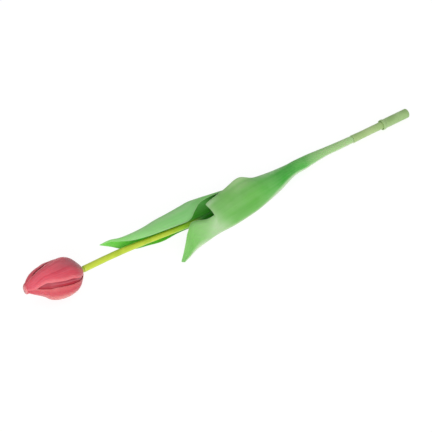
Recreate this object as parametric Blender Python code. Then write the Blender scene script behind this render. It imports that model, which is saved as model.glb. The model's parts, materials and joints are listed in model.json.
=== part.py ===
"""An artificial tulip with a closed bud, lying on a table.

The flower is built in its own frame. X runs along the straight axis of the stem, from the bud
(-X) to the capped end (+X). Directions round the stem are angles from +Z towards -Y.
An empty lays the flower down, so that the bud and the cap both touch the table.
"""
import math

import bmesh
import bpy
import numpy as np
from mathutils import Matrix, Vector

# Lengths along the stem
OVERALL_LENGTH = 0.470
BUD_LENGTH = 0.0615
CAP_LENGTH = 0.0355
BOTTOM_SLEEVE_IN_CAP = 0.0248
NECK_SHOULDER_LENGTH = 0.002
PEG_IN_STEM = 0.014
PEG_IN_HEAD = 0.010

# Radii and walls
STEM_RADIUS = 0.0030
STEM_BORE = 0.0016
BOTTOM_SLEEVE_WALL = 0.0008
PEG_HEAD_RADIUS = 0.0022
CAP_RADIUS = 0.0052
CAP_BEAD_RADIUS = 0.0058
CAP_BEAD_LENGTH = 0.0040
CAP_END_WALL = 0.0030
CAP_END_ROUNDING = 0.0008
CAP_MOUTH_WIDENING = 0.0004

# The clearance that neighbours keep, and the way that sleeves slide
GAP = 0.0003

# The bow of the stem inside the leaves
STEM_BOW = 0.0068
BOW_DIRECTION = math.radians(127.7)
STRAIGHT_NECK_LENGTH = 0.0188
BOW_PEAK_TO_STEM_END = 0.245
BOW_FOOT_TO_STEM_END = 0.187

# The bud
BUD_TILT = math.radians(3.5)
BUD_RADIUS = 0.0200
BUD_BULGE = 0.0036
PETAL_WALL = 0.0010
PETAL_TUCK = 0.0009
STEEP_WALL_SHARE = 1.8
INNER_HALF_SPREAD = math.radians(56.0)
INNER_PETAL_SINK = 0.0027
INNER_PETAL_SHORTNESS = 0.0050
CORE_FOOT = 0.0043
CORE_SHORTNESS = 0.0110
CORE_TIP_ROUNDING = 0.0012
CUP_WALL = 0.0004
CUP_FOOT = 0.0010
CUP_HEIGHT = 0.0022
PETAL_FOOT = 0.0006

# The leaves
LEAF_WALL = 0.0006
SHEATH_EASE = 0.0001
INNER_SHEATH_TO_STEM_END = 0.135
INNER_LEAF_LENGTH = 0.2454
INNER_LEAF_REACH = 0.012
OUTER_SHEATH_TO_STEM_END = 0.0753
OUTER_LEAF_LENGTH = 0.2420
OUTER_LEAF_REACH = 0.036

# Mesh fineness
STEM_SIDES = 14
TURNED_SIDES = 24
WIRE_SIDES = 8
LEAST_RING_SPACING = 0.002

# Places that follow from the sizes
HEAD_END = -OVERALL_LENGTH / 2
STEM_END = OVERALL_LENGTH / 2
BUD_BASE = HEAD_END + BUD_LENGTH * math.cos(BUD_TILT)
NECK_TOP = BUD_BASE + GAP
SLEEVE_TOP = NECK_TOP + NECK_SHOULDER_LENGTH
CAP_MOUTH = STEM_END - CAP_LENGTH
SLEEVE_BOTTOM = STEM_END - CAP_END_WALL - GAP
BOW_START = SLEEVE_TOP + STRAIGHT_NECK_LENGTH
BOW_PEAK = STEM_END - BOW_PEAK_TO_STEM_END
BOW_END = STEM_END - BOW_FOOT_TO_STEM_END
INNER_SHEATH_END = STEM_END - INNER_SHEATH_TO_STEM_END
OUTER_SHEATH_END = STEM_END - OUTER_SHEATH_TO_STEM_END
BOTTOM_SLEEVE_RADIUS = STEM_RADIUS + GAP + BOTTOM_SLEEVE_WALL
BOTTOM_SLEEVE_TOP = OUTER_SHEATH_END + GAP
BOTTOM_SLEEVE_END = CAP_MOUTH + BOTTOM_SLEEVE_IN_CAP
SHEATH_RADIUS = STEM_RADIUS + GAP + LEAF_WALL / 2 + SHEATH_EASE
WIRE_RADIUS = STEM_BORE - GAP
INNER_PETAL_TOP = BUD_LENGTH - INNER_PETAL_SHORTNESS
CORE_TOP = BUD_LENGTH - CORE_SHORTNESS


def clear_scene():
    """Take away whatever the file holds."""
    for item in list(bpy.data.objects):
        bpy.data.objects.remove(item, do_unlink=True)


def make_material(name, colour, roughness, metallic=0.0):
    """A plain Principled BSDF in the piece's colour."""
    material = bpy.data.materials.new(name)
    material.use_nodes = True
    shader = material.node_tree.nodes["Principled BSDF"]
    shader.inputs["Base Color"].default_value = (*colour, 1.0)
    shader.inputs["Roughness"].default_value = roughness
    shader.inputs["Metallic"].default_value = metallic
    return material


def make_empty(name, location, parent=None, rotation=(0.0, 0.0, 0.0)):
    """An axis or a frame that pieces are parented to."""
    empty = bpy.data.objects.new(name, None)
    bpy.context.collection.objects.link(empty)
    empty.parent = parent
    empty.location = location
    empty.rotation_euler = rotation
    return empty


def make_object(name, vertices, faces, material, parent):
    """A named piece from points and faces, shaded smooth except at its edges."""
    mesh = bpy.data.meshes.new(name)
    mesh.from_pydata([tuple(point) for point in vertices], [], faces)
    built = bmesh.new()
    built.from_mesh(mesh)
    bmesh.ops.recalc_face_normals(built, faces=built.faces)
    built.to_mesh(mesh)
    built.free()
    mesh.shade_smooth()
    mesh.set_sharp_from_angle(angle=math.radians(40))
    mesh.materials.append(material)
    piece = bpy.data.objects.new(name, mesh)
    bpy.context.collection.objects.link(piece)
    piece.parent = parent
    return piece


def ring_faces(first, second, sides):
    """Quads between two rings of points."""
    faces = []
    for side in range(sides):
        after = (side + 1) % sides
        faces.append((first + side, first + after, second + after, second + side))
    return faces


def loft(rings, sides, closed_loop):
    """Faces over a row of rings, capped at both ends or closed back on itself."""
    faces = []
    for index in range(len(rings) - 1):
        faces += ring_faces(index * sides, (index + 1) * sides, sides)
    if closed_loop:
        faces += ring_faces((len(rings) - 1) * sides, 0, sides)
    else:
        faces.append(tuple(reversed(range(sides))))
        last = (len(rings) - 1) * sides
        faces.append(tuple(range(last, last + sides)))
    return [point for ring in rings for point in ring], faces


def circle(centre, radius, sides, lean=0.0):
    """A ring of points square to X, or leaning by an angle as the bud does."""
    points = []
    for side in range(sides):
        angle = 2 * math.pi * side / sides
        offset = Vector((0.0, -radius * math.sin(angle), radius * math.cos(angle)))
        points.append(Vector(centre) + Matrix.Rotation(lean, 3, lean_axis()) @ offset)
    return points


def lean_axis():
    """The axis that the bud leans about: square to X and to the direction of its lean."""
    return Vector((0.0, -math.cos(BOW_DIRECTION), -math.sin(BOW_DIRECTION)))


def round_the_stem(x, angle, radius):
    """The point at a place along the stem, an angle round it and a distance from its axis."""
    return Vector((x, -radius * math.sin(angle), radius * math.cos(angle)))


def stem_centre(x):
    """The stem's centre: straight at both ends, bowed by a cosine hump between them."""
    if BOW_START < x <= BOW_PEAK:
        share = (x - BOW_START) / (BOW_PEAK - BOW_START)
    elif BOW_PEAK < x < BOW_END:
        share = (BOW_END - x) / (BOW_END - BOW_PEAK)
    else:
        share = 0.0
    bow = STEM_BOW * (1 - math.cos(math.pi * share)) / 2
    return round_the_stem(x, BOW_DIRECTION, bow)


def stem_stations(start, end):
    """Places along the stem: a ring every 9 mm on the bow, and few on the straight parts."""
    first = start + LEAST_RING_SPACING
    last = end - LEAST_RING_SPACING
    bow_places = np.linspace(BOW_START, BOW_END, 23)
    return [start] + [float(x) for x in bow_places if first < x < last] + [end]


def add_stem_sleeve(material, parent):
    """A soft tube along the bowed stem, open at both ends for the wire and the peg."""
    stations = stem_stations(SLEEVE_TOP, SLEEVE_BOTTOM)
    outside = [circle(stem_centre(x), STEM_RADIUS, STEM_SIDES) for x in stations]
    inside = [circle(stem_centre(x), STEM_BORE, STEM_SIDES) for x in reversed(stations)]
    vertices, faces = loft(outside + inside, STEM_SIDES, True)
    return make_object("stem_sleeve", vertices, faces, material, parent)


def add_stem_wire(material, parent):
    """The wire core, from just under the peg to the sleeve's lower end."""
    stations = stem_stations(SLEEVE_TOP + PEG_IN_STEM + GAP, SLEEVE_BOTTOM)
    rings = [circle(stem_centre(x), WIRE_RADIUS, WIRE_SIDES) for x in stations]
    vertices, faces = loft(rings, WIRE_SIDES, False)
    return make_object("stem_wire", vertices, faces, material, parent)


def add_turned(name, profile, closed_loop, material, parent, sides=TURNED_SIDES):
    """A turned piece: (distance along X, radius) pairs carried round the X axis."""
    rings = [circle((x, 0.0, 0.0), radius, sides) for x, radius in profile]
    vertices, faces = loft(rings, sides, closed_loop)
    return make_object(name, vertices, faces, material, parent)


def add_bottom_sleeve(material, parent):
    """The thicker tube on the lowest part of the stem, its edges rounded."""
    bore = STEM_RADIUS + GAP
    edge = BOTTOM_SLEEVE_WALL / 3
    top = BOTTOM_SLEEVE_TOP
    bottom = BOTTOM_SLEEVE_END
    profile = [
        (top, bore),
        (top, BOTTOM_SLEEVE_RADIUS - edge),
        (top + edge, BOTTOM_SLEEVE_RADIUS),
        (bottom - edge, BOTTOM_SLEEVE_RADIUS),
        (bottom, BOTTOM_SLEEVE_RADIUS - edge),
        (bottom, bore),
    ]
    return add_turned("bottom_sleeve", profile, True, material, parent)


def add_end_cap(material, parent):
    """A blind cap with a beaded, widened mouth. Its origin is the mouth's centre."""
    bore = BOTTOM_SLEEVE_RADIUS + GAP
    mouth = bore + CAP_MOUTH_WIDENING
    bead = CAP_BEAD_LENGTH
    edge = CAP_END_ROUNDING
    profile = [
        (CAP_LENGTH - CAP_END_WALL, bore),
        (CAP_MOUTH_WIDENING * 2, bore),
        (0.0, mouth),
        (0.0, CAP_BEAD_RADIUS - edge),
        (bead * 0.15, CAP_BEAD_RADIUS - edge * 0.3),
        (bead * 0.40, CAP_BEAD_RADIUS),
        (bead * 0.70, CAP_BEAD_RADIUS - edge * 0.1),
        (bead, CAP_RADIUS),
        (CAP_LENGTH - edge, CAP_RADIUS),
        (CAP_LENGTH - edge * 0.3, CAP_RADIUS - edge * 0.3),
        (CAP_LENGTH, CAP_RADIUS - edge),
    ]
    return add_turned("end_cap", profile, False, material, parent)


def add_neck_peg(material, parent):
    """A peg with a shoulder: its foot goes into the stem, and its head leans with the bud."""
    foot = SLEEVE_TOP + PEG_IN_STEM
    sides = TURNED_SIDES // 2
    shoulder = STEM_RADIUS
    bud_axis = Matrix.Rotation(BUD_TILT, 3, lean_axis()) @ Vector((-1.0, 0.0, 0.0))
    start = Vector((NECK_TOP, 0.0, 0.0))
    tip = Vector((BUD_BASE, 0.0, 0.0)) + bud_axis * PEG_IN_HEAD
    edge = PEG_HEAD_RADIUS / 4
    rings = [
        circle((foot, 0.0, 0.0), WIRE_RADIUS, sides),
        circle((SLEEVE_TOP - GAP, 0.0, 0.0), WIRE_RADIUS, sides),
        circle((SLEEVE_TOP - GAP, 0.0, 0.0), shoulder, sides),
        circle(start, shoulder, sides),
        circle(start, PEG_HEAD_RADIUS, sides),
        circle(tip - bud_axis * edge, PEG_HEAD_RADIUS, sides, BUD_TILT),
        circle(tip, PEG_HEAD_RADIUS - edge, sides, BUD_TILT),
    ]
    vertices, faces = loft(rings, sides, False)
    return make_object("neck_peg", vertices, faces, material, parent)


# The bud's sections, from its base to its tip: height as a share of the bud's length, radius as a
# share of the greatest one, and the shift of the section's centre as a share of the bulge.
BUD_SECTIONS = [
    (0.000, 0.260, 0.00),
    (0.020, 0.350, 0.04),
    (0.047, 0.470, 0.06),
    (0.080, 0.605, 0.10),
    (0.120, 0.745, 0.14),
    (0.180, 0.885, 0.18),
    (0.250, 0.965, 0.22),
    (0.340, 1.000, 0.18),
    (0.450, 0.990, 0.20),
    (0.560, 0.945, 0.36),
    (0.630, 0.865, 0.52),
    (0.690, 0.755, 0.90),
    (0.755, 0.645, 1.13),
    (0.820, 0.535, 1.20),
    (0.885, 0.395, 1.13),
    (0.930, 0.275, 1.00),
    (0.965, 0.195, 0.85),
    (1.000, 0.165, 0.62),
]

# The grooves between the outer petals: height as a share of the bud's length, then for each groove
# the angle of its middle and half its width, in degrees. The first one gapes, and the last one does
# so towards the tip.
GROOVES = [
    (0.00, (85, 3), (180, 3), (299, 3)),
    (0.05, (83, 7), (180, 3.5), (300, 3.8)),
    (0.12, (74.3, 6.3), (180, 4.5), (302, 5)),
    (0.20, (68.2, 7.3), (180, 5.3), (305, 5)),
    (0.27, (64.5, 9), (180, 6), (310, 4)),
    (0.40, (61, 8.5), (180, 7.1), (318, 3)),
    (0.50, (59.2, 8), (180, 8), (324.5, 3)),
    (0.60, (59.5, 8), (180, 8), (329.5, 3.5)),
    (0.66, (62.5, 10), (180, 8), (332.5, 4)),
    (0.75, (68, 8.5), (180, 5.7), (338, 4.4)),
    (0.80, (70.2, 4.8), (180, 4), (343, 4)),
    (0.86, (72.2, 2.2), (180, 3.1), (352, 3)),
    (0.93, (72, 2.4), (180, 2.5), (350, 2.5)),
    (1.00, (70, 2.5), (180, 2.5), (342, 2.5)),
]


def bud_profile(height):
    """The bud's outer radius over its base: a rounded foot, a full belly and a slim tip."""
    heights, radii, _ = zip(*BUD_SECTIONS)
    return BUD_RADIUS * float(np.interp(height / BUD_LENGTH, heights, radii))


def bud_centre(height):
    """The middle of a section of the bud, which bulges to one side towards the tip."""
    heights, _, shifts = zip(*BUD_SECTIONS)
    shift = BUD_BULGE * float(np.interp(height / BUD_LENGTH, heights, shifts))
    return round_the_stem(-height, BOW_DIRECTION + math.pi, shift)


def groove(number, height, radius):
    """The angles of a groove's two edges, at least a gap apart inside the petals' wall."""
    share = height / BUD_LENGTH
    heights = [row[0] for row in GROOVES]
    middle = np.interp(share, heights, [row[1 + number][0] for row in GROOVES])
    half = np.interp(share, heights, [row[1 + number][1] for row in GROOVES])
    half = max(math.radians(half), GAP / 2 / (radius - PETAL_WALL) + PETAL_WALL / 8 / radius)
    return math.radians(middle) - half, math.radians(middle) + half


def petal_tuck(radius):
    """How far a petal's side margins lie inside its middle, less where the bud is slim."""
    return PETAL_TUCK * min(radius / BUD_RADIUS * 1.3, 1.0)


def room_inside(height, sink):
    """The radius that is free inside a ring of petals, where their wall runs steep at the foot."""
    radius = bud_profile(height) - sink
    return radius - petal_tuck(radius) - PETAL_WALL * STEEP_WALL_SHARE - GAP


def petal_heights(start, end, count):
    """Heights of a petal's rows, closer together at its root and its tip."""
    turn = np.linspace(0.0, math.pi, count)
    eased = (1 - np.cos(turn)) / 2
    return start + (end - start) * (0.6 * eased + 0.4 * np.linspace(0.0, 1.0, count))


def sheet_faces(rows, columns):
    """Quads of a grid of points."""
    faces = []
    for row in range(rows - 1):
        for column in range(columns - 1):
            corner = row * columns + column
            faces.append((corner, corner + columns, corner + columns + 1, corner + 1))
    return faces


def add_sheet(name, grid, wall, inwards, material, parent):
    """A sheet of material from a grid of points, thickened by a Solidify modifier."""
    rows, columns = len(grid), len(grid[0])
    mesh = bpy.data.meshes.new(name)
    vertices = [tuple(point) for row in grid for point in row]
    mesh.from_pydata(vertices, [], sheet_faces(rows, columns))
    mesh.shade_smooth()
    mesh.set_sharp_from_angle(angle=math.radians(50))
    mesh.materials.append(material)
    piece = bpy.data.objects.new(name, mesh)
    bpy.context.collection.objects.link(piece)
    piece.parent = parent
    thickness = piece.modifiers.new("wall", "SOLIDIFY")
    thickness.thickness = wall
    thickness.offset = -1.0 if inwards else 0.0
    thickness.use_even_offset = True
    thickness.use_rim = True
    return piece


def outer_margins(number, height, radius):
    """The angles of an outer petal's two side margins: it reaches from groove to groove."""
    before = groove((number + 2) % 3, height, radius)[1]
    after = groove(number, height, radius)[0]
    if before > after:
        before -= 2 * math.pi
    return before, after


def inner_margins(number, height, radius):
    """The angles of an inner petal's two side margins: it lies behind a groove."""
    middle = math.radians(60.0 + 120.0 * number)
    return middle - INNER_HALF_SPREAD, middle + INNER_HALF_SPREAD


def add_petal(name, number, margins, sink, start, end, rows, columns, material, parent):
    """A petal: a patch of the bud's rounded shape whose side margins tuck in.

    The parent is the bud's own axis, with the bud's base at its origin and the tip towards -X.
    """
    grid = []
    for height in petal_heights(start, end, rows):
        radius = bud_profile(height) - sink
        before, after = margins(number, height, radius)
        tuck = petal_tuck(radius)
        row = []
        for share in np.linspace(-1.0, 1.0, columns):
            angle = (before + after + (after - before) * share) / 2
            offset = round_the_stem(0.0, angle, radius - tuck * share ** 4)
            row.append(bud_centre(height) + offset)
        grid.append(row)
    return add_sheet(name, grid, PETAL_WALL, True, material, parent)


def add_petal_cup(material, parent):
    """The cup under the petals, bored for the peg."""
    bore = PEG_HEAD_RADIUS + GAP
    foot = CUP_FOOT
    top = foot + CUP_HEIGHT
    profile = [
        (-foot, bore),
        (-foot, bore + CUP_WALL),
        (-top, room_inside(top, 0.0)),
        (-top, bore),
    ]
    return add_turned("petal_cup", profile, True, material, parent)


def add_bud_core(material, parent):
    """The foam plug that fills the bud, with a blind hole for the peg."""
    bore = PEG_HEAD_RADIUS + GAP
    foot = CORE_FOOT
    hole_end = PEG_IN_HEAD + GAP * 2
    rings = [circle((-hole_end, 0.0, 0.0), bore, TURNED_SIDES)]
    rings.append(circle((-foot, 0.0, 0.0), bore, TURNED_SIDES))
    for height in np.linspace(foot, CORE_TOP, 18):
        radius = room_inside(height, INNER_PETAL_SINK)
        rings.append(circle(bud_centre(height), radius, TURNED_SIDES))
    tip = CORE_TOP + CORE_TIP_ROUNDING
    rings.append(circle(bud_centre(tip), CORE_TIP_ROUNDING, TURNED_SIDES))
    vertices, faces = loft(rings, TURNED_SIDES, False)
    return make_object("bud_core", vertices, faces, material, parent)


def through(points, count):
    """Points on a smooth curve that passes through the given ones.

    Each span is a cubic, and the slope at a given point is half the step between its neighbours.
    """
    points = np.asarray(points, dtype=float)
    slopes = np.gradient(points, axis=0)
    places = np.linspace(0.0, len(points) - 1.0, count)
    index = np.minimum(places.astype(int), len(points) - 2)
    share = (places - index).reshape((-1,) + (1,) * (points.ndim - 1))
    near, far = points[index], points[index + 1]
    leave, arrive = slopes[index], slopes[index + 1]
    square, cube = share ** 2, share ** 3
    return (near * (2 * cube - 3 * square + 1) + far * (3 * square - 2 * cube)
            + leave * (cube - 2 * square + share) + arrive * (cube - square))


# Stations of the leaves, from the sheath's end to the tip. Each holds the place of its two margins
# as shares of the leaf's length, then for points from margin to margin the angle round the stem in
# degrees, and the height over the sheath as a share of the leaf's reach.
INNER_LEAF_STATIONS = [
    (0.000, 0.000, (90, 21, -48, -116, -185, -254), (0, 0, 0, 0, 0, 0)),
    (0.138, 0.138, (90, 21, -48, -116, -185, -254), (0, 0, 0, 0, 0, 0)),
    (0.163, 0.163, (88, 20, -48, -116, -184, -252), (0, 0, 0, 0, 0, 0)),
    (0.237, 0.237, (21, -27, -69, -114, -164, -207), (0.13, 0.15, 0.15, 0.15, 0.17, 0.18)),
    (0.334, 0.334, (-32, -54, -78, -111, -155, -204), (0.28, 0.34, 0.34, 0.29, 0.30, 0.48)),
    (0.440, 0.440, (-49, -56, -69, -93, -147, -225), (0.54, 0.64, 0.65, 0.53, 0.36, 0.76)),
    (0.530, 0.530, (-31, -41, -54, -83, -142, -226), (0.55, 0.76, 0.88, 0.72, 0.43, 0.74)),
    (0.579, 0.579, (10, -20, -48, -83, -142, -216), (0.41, 0.72, 0.98, 0.76, 0.41, 0.57)),
    (0.619, 0.619, (53, -4, -47, -87, -145, -212), (0.41, 0.62, 0.93, 0.71, 0.41, 0.49)),
    (0.677, 0.677, (49, -4, -47, -88, -146, -212), (0.40, 0.61, 0.85, 0.68, 0.41, 0.47)),
    (0.742, 0.742, (39, -9, -49, -89, -149, -215), (0.32, 0.59, 0.79, 0.63, 0.40, 0.51)),
    (0.807, 0.807, (26, -13, -49, -87, -137, -196), (0.24, 0.50, 0.66, 0.57, 0.36, 0.38)),
    (0.864, 0.864, (-2, -26, -51, -81, -122, -177), (0.21, 0.53, 0.65, 0.55, 0.31, 0.30)),
    (0.913, 0.913, (-29, -38, -52, -71, -91, -126), (0.42, 0.62, 0.72, 0.62, 0.38, 0.14)),
    (0.954, 0.954, (-44, -47, -52, -59, -66, -74), (0.74, 0.86, 0.90, 0.82, 0.63, 0.38)),
    (1.000, 1.000, (-48, -49, -51, -52, -53, -55), (0.88, 0.89, 0.90, 0.89, 0.88, 0.87)),
]
OUTER_LEAF_STATIONS = [
    (0.000, 0.000, (-124, -67, -10, 48, 105, 162, 219), (0, 0, 0, 0, 0, 0, 0)),
    (0.073, 0.073, (-124, -67, -10, 48, 105, 162, 219), (0.01, 0.015, 0.01, 0, 0, 0, 0.005)),
    (0.152, 0.152, (-124, -67, -10, 48, 105, 162, 219), (0.03, 0.04, 0.03, 0.01, 0, 0, 0.02)),
    (0.231, 0.231, (-123, -66, -10, 48, 104, 161, 217), (0.06, 0.07, 0.06, 0.05, 0.05, 0.05, 0.06)),
    (0.268, 0.268, (-121, -65, -8, 49, 103, 156, 209), (0.07, 0.07, 0.08, 0.08, 0.08, 0.08, 0.07)),
    (0.309, 0.309, (-115, -62, -5, 50, 98, 142, 188), (0.06, 0.07, 0.08, 0.08, 0.09, 0.09, 0.07)),
    (0.350, 0.350, (-107, -57, -1, 51, 91, 124, 159), (0.06, 0.06, 0.07, 0.09, 0.13, 0.15, 0.08)),
    (0.424, 0.424, (-87, -47, 15, 63, 94, 119, 136), (0.07, 0.08, 0.08, 0.16, 0.25, 0.32, 0.22)),
    (0.503, 0.503, (-68, -39, 21, 65, 94, 117, 128), (0.14, 0.13, 0.13, 0.24, 0.37, 0.46, 0.34)),
    (0.569, 0.569, (-57, -28, 26, 65, 93, 115, 121), (0.32, 0.18, 0.17, 0.29, 0.44, 0.56, 0.46)),
    (0.660, 0.643, (-35, -1, 40, 69, 92, 112, 120), (0.22, 0.18, 0.21, 0.35, 0.50, 0.63, 0.53)),
    (0.717, 0.697, (-16, 15, 49, 72, 92, 112, 119), (0.20, 0.20, 0.27, 0.40, 0.54, 0.66, 0.56)),
    (0.782, 0.751, (13, 34, 57, 76, 93, 111, 118), (0.22, 0.26, 0.34, 0.46, 0.58, 0.67, 0.59)),
    (0.761, 0.809, (61, 68, 75, 84, 96, 110, 117), (0.29, 0.36, 0.44, 0.54, 0.63, 0.70, 0.63)),
    (0.801, 0.850, (67, 74, 82, 90, 100, 110, 115), (0.40, 0.46, 0.53, 0.60, 0.67, 0.74, 0.70)),
    (0.867, 0.883, (53, 66, 79, 89, 100, 108, 112), (0.36, 0.43, 0.53, 0.61, 0.69, 0.78, 0.75)),
    (0.908, 0.916, (75, 82, 90, 97, 103, 108, 110), (0.44, 0.53, 0.62, 0.69, 0.77, 0.83, 0.84)),
    (0.945, 0.945, (92, 95, 99, 102, 105, 107, 108), (0.60, 0.69, 0.76, 0.81, 0.86, 0.90, 0.92)),
    (0.974, 0.969, (101, 102, 103, 105, 106, 107, 108), (0.80, 0.85, 0.87, 0.90, 0.93, 0.95, 0.96)),
    (1.000, 1.000, (105, 105, 105, 106, 106, 106, 106), (0.99, 0.99, 1.0, 1.0, 1.0, 1.01, 1.01)),
]


def leaf_grid(stations, sheath_end, length, reach, rows, columns):
    """The leaf's middle surface: a smooth net through its stations, worked out in polar form.

    Place, angle and radius are smoothed each for itself, so the blade bends round the stem.
    """
    net = []
    for first, last, angles, heights in stations:
        places = sheath_end - length * np.linspace(first, last, len(angles))
        radii = SHEATH_RADIUS + reach * np.asarray(heights)
        net.append(np.stack([places, np.radians(angles), radii], axis=1))
    drawn = through(np.array(net), rows)
    drawn = through(drawn.transpose(1, 0, 2), columns).transpose(1, 0, 2)
    return [[round_the_stem(*map(float, point)) for point in row] for row in drawn]


def add_leaf(name, stations, sheath_end, length, reach, columns, material, parent):
    """A leaf: its clasping root and its blade are one moulded sheet."""
    rows = 2 * len(stations) - 1
    grid = leaf_grid(stations, sheath_end, length, reach, rows, columns)
    return add_sheet(name, grid, LEAF_WALL, False, material, parent)


def world_points(pieces):
    """Where the points of some pieces lie, with their modifiers, one row a point."""
    bpy.context.view_layer.update()
    shapes = bpy.context.evaluated_depsgraph_get()
    points = []
    for piece in pieces:
        solid = piece.evaluated_get(shapes)
        points += [tuple(solid.matrix_world @ vertex.co) for vertex in solid.data.vertices]
    return np.array(points)


def lowest_point(pieces):
    """The lowest point of some pieces."""
    points = world_points(pieces)
    return points[points[:, 2].argmin()]


def lay_down(flower, petals, cap):
    """Turn the flower until the bud and the cap both touch the table, and centre its box."""
    for _ in range(5):
        bud_low = lowest_point(petals)
        cap_low = lowest_point([cap])
        flower.rotation_euler.y += math.atan2(cap_low[2] - bud_low[2], cap_low[0] - bud_low[0])
    points = world_points([piece for piece in bpy.context.scene.objects if piece.type == "MESH"])
    low, high = points.min(axis=0), points.max(axis=0)
    flower.location = (-(low[0] + high[0]) / 2, -(low[1] + high[1]) / 2, -low[2])
    bpy.context.view_layer.update()
    print("box of the laid flower in mm:", [round(1000 * float(side), 2) for side in high - low])
    print("turned down by degrees:", round(math.degrees(flower.rotation_euler.y), 4))


def report_axis(name, empty, direction):
    """Print where a moving piece's axis lies in the world."""
    place = empty.matrix_world.translation
    axis = empty.matrix_world.to_3x3() @ Vector(direction)
    print(name, [round(value, 5) for value in place], [round(value, 6) for value in axis])


def main():
    """Build every piece of the flower and lay it down."""
    clear_scene()
    petal = make_material("petal", (0.60, 0.10, 0.14), 0.55)
    inner = make_material("inner petal", (0.52, 0.10, 0.17), 0.6)
    cup_green = make_material("cup", (0.40, 0.45, 0.12), 0.6)
    foam = make_material("foam", (0.75, 0.70, 0.60), 0.9)
    stem_green = make_material("stem", (0.50, 0.65, 0.06), 0.45)
    steel = make_material("wire", (0.45, 0.45, 0.45), 0.4, 1.0)
    peg_green = make_material("peg", (0.45, 0.60, 0.10), 0.5)
    leaf_green = make_material("leaf", (0.17, 0.43, 0.12), 0.5)
    pale_green = make_material("bottom sleeve", (0.33, 0.50, 0.20), 0.5)
    cap_green = make_material("cap", (0.30, 0.46, 0.19), 0.5)

    flower = make_empty("flower", (0.0, 0.0, 0.0))
    add_stem_sleeve(stem_green, flower)
    add_stem_wire(steel, flower)
    add_bottom_sleeve(pale_green, flower)
    add_neck_peg(peg_green, flower)

    cap_axis = make_empty("cap axis", (CAP_MOUTH, 0.0, 0.0), flower)
    cap = add_end_cap(cap_green, cap_axis)

    bud_axis = make_empty("bud axis", (BUD_BASE, 0.0, 0.0), flower)
    bud_axis.rotation_mode = "QUATERNION"
    bud_axis.rotation_quaternion = Matrix.Rotation(BUD_TILT, 3, lean_axis()).to_quaternion()
    petals = []
    for number in range(3):
        petals.append(add_petal(f"outer_petal_{number + 1}", number, outer_margins, 0.0,
                                PETAL_FOOT, BUD_LENGTH, 21, 12, petal, bud_axis))
        add_petal(f"inner_petal_{number + 1}", number, inner_margins, INNER_PETAL_SINK,
                  CUP_FOOT + CUP_HEIGHT + GAP, INNER_PETAL_TOP, 14, 11, inner, bud_axis)
    add_petal_cup(cup_green, bud_axis)
    add_bud_core(foam, bud_axis)

    leaf_axis = make_empty("leaf axis", (0.0, 0.0, 0.0), flower)
    add_leaf("inner_leaf", INNER_LEAF_STATIONS, INNER_SHEATH_END, INNER_LEAF_LENGTH,
             INNER_LEAF_REACH, 13, leaf_green, leaf_axis)
    add_leaf("outer_leaf", OUTER_LEAF_STATIONS, OUTER_SHEATH_END, OUTER_LEAF_LENGTH,
             OUTER_LEAF_REACH, 15, leaf_green, leaf_axis)

    lay_down(flower, petals, cap)
    report_axis("cap axis", cap_axis, (1.0, 0.0, 0.0))
    report_axis("bud axis", bud_axis, (-1.0, 0.0, 0.0))
    report_axis("leaf axis", leaf_axis, (-1.0, 0.0, 0.0))


main()
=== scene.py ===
# %% [markdown]
# # An artificial tulip, laid on a white table
#
# The real thing is a closed bud of soft petals on a wired, sleeved stem, with two leaves and a
# push-on end cap. The CAD frame holds its sizes and its joints. This lesson dresses that frame: it
# works each surface out as a grid of points with numpy, gives it a procedural material, and lets it
# ride on the body that it belongs to, so that it follows every pose.

import json
import math

import bpy
import numpy as np
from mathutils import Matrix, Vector


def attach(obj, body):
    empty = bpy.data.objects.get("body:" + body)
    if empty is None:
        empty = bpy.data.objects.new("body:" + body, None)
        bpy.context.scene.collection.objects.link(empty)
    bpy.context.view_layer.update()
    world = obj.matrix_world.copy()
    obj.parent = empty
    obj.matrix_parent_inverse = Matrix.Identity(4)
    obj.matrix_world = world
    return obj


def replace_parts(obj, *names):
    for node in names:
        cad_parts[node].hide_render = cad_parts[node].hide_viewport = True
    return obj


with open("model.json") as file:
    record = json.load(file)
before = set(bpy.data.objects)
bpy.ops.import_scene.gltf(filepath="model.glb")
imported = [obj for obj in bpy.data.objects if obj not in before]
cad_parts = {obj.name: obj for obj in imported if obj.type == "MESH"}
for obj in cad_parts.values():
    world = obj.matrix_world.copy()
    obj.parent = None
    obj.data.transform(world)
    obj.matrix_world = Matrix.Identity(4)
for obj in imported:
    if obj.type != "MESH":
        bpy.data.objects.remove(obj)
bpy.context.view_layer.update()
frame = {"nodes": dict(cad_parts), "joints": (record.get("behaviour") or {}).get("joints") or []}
joints = {joint["name"]: joint for joint in frame["joints"]}

# %% [markdown]
# ## Where the flower lies
#
# A long thing is easiest to model along a straight axis, and only then laid down. The flower's own
# frame has X along the stem, from the bud to the cap, and directions round the stem are angles
# from +Z towards -Y. The record's joints say where it lies on the table: the axis and the point of
# the leaves' hinge are the stem's. The bud has a second frame, which is tilted by a few degrees and
# sits at the point of the head's hinge.

# %% The flower's frame
LEAN_SIDE = math.radians(127.7)
BUD_TILT = math.radians(3.5)


def round_the_stem(x, angle, radius):
    """Points at a place along X, an angle round it and a distance from it: (x, -r sin, r cos)."""
    x, angle, radius = np.broadcast_arrays(x, angle, radius)
    return np.stack([x, -radius * np.sin(angle), radius * np.cos(angle)], axis=-1)


def turn_about(axis, angle):
    """The matrix of a turn about a unit axis, by the usual sum of a cosine and a sine part."""
    x, y, z = axis
    cross = np.array([[0.0, -z, y], [z, 0.0, -x], [-y, x, 0.0]])
    return np.eye(3) + math.sin(angle) * cross + (1 - math.cos(angle)) * (cross @ cross)


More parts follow.
